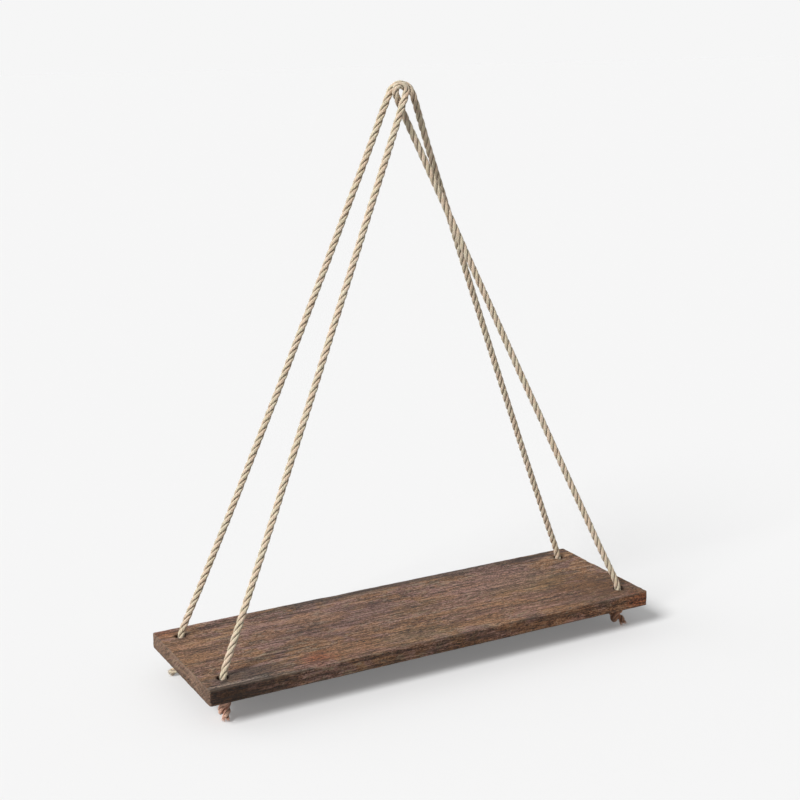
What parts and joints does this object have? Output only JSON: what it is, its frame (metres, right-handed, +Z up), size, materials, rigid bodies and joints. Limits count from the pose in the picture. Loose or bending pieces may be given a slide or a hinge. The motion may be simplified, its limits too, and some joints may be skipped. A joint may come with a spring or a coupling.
{
  "type": "hanging rope shelf",
  "caption": "Stained wooden board hung level on rope legs that rise to a common hanging point and are stopped by knots under the board.",
  "frame": {"origin": "middle of the thin hook that both ropes hang over, above the middle of the board", "axes": "+X along the board to the right, +Y towards the back, +Z up"},
  "size_m": [0.43, 0.138, 0.4994],
  "materials": {
    "board_wood": "rough-sawn board stained dark walnut, matt and worn paler at its edges",
    "rope_jute": "laid natural jute rope, dry and slightly fuzzy"
  },
  "bodies": {
    "hook_turns": {"front_rope_eye": "rope_jute", "back_rope_bight": "rope_jute"},
    "upper_necks": {"front_left_upper_neck": "rope_jute", "front_right_upper_neck": "rope_jute", "back_left_upper_neck": "rope_jute", "back_right_upper_neck": "rope_jute"},
    "lower_necks": {"front_left_lower_neck": "rope_jute", "front_right_lower_neck": "rope_jute", "back_left_lower_neck": "rope_jute", "back_right_lower_neck": "rope_jute"},
    "hanging_shelf": {"board": "board_wood", "front_left_leg": "rope_jute", "front_right_leg": "rope_jute", "back_left_leg": "rope_jute", "back_right_leg": "rope_jute", "front_left_knot": "rope_jute", "front_right_knot": "rope_jute", "back_left_knot": "rope_jute", "back_right_knot": "rope_jute"}
  },
  "joints": [
    {"name": "side_swing", "type": "hinge", "parent": "hook_turns", "child": "upper_necks", "pos_m": [0, 0, 0], "axis": [0, 1, 0], "range_deg": [-20, 20]},
    {"name": "fore_aft_swing", "type": "hinge", "parent": "upper_necks", "child": "lower_necks", "pos_m": [0, 0, 0], "axis": [1, 0, 0], "range_deg": [-15, 15]},
    {"name": "twist", "type": "hinge", "parent": "lower_necks", "child": "hanging_shelf", "pos_m": [0, 0, 0], "axis": [0, 0, 1], "range_deg": [-30, 30]}
  ]
}
